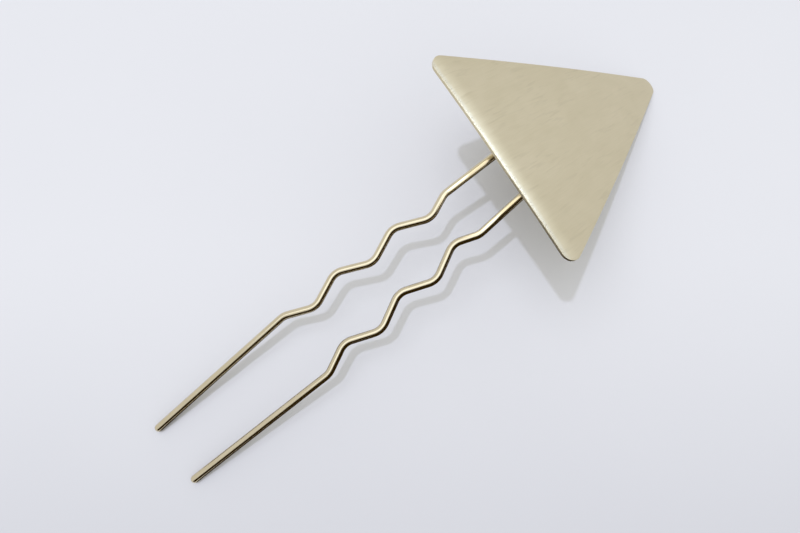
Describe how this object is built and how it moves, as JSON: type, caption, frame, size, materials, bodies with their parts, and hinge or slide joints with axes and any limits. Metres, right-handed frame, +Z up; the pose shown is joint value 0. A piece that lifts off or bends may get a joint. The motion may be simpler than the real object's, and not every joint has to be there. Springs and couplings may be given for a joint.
{
  "type": "hairpin",
  "caption": "U-shaped brass wire hairpin with waved legs and a brushed triangular plate soldered over its crown, worn in a bun or twist.",
  "frame": {"origin": "on the table, centred under the hairpin's bounding box, as it rests on its two tips and the plate's far corner", "axes": "+X runs from the tips of the legs to the plate, +Y across the legs, +Z up from the table to the plate's face"},
  "size_m": [0.119, 0.0384, 0.0283],
  "materials": {
    "polished_wire": "polished champagne-gold plating",
    "brushed_plate": "brushed satin champagne-gold plating",
    "solder": "plated over, satin"
  },
  "bodies": {
    "root": {"wire_pin": "polished_wire", "plate": "brushed_plate", "solder_left": "solder", "solder_right": "solder"}
  },
  "joints": []
}
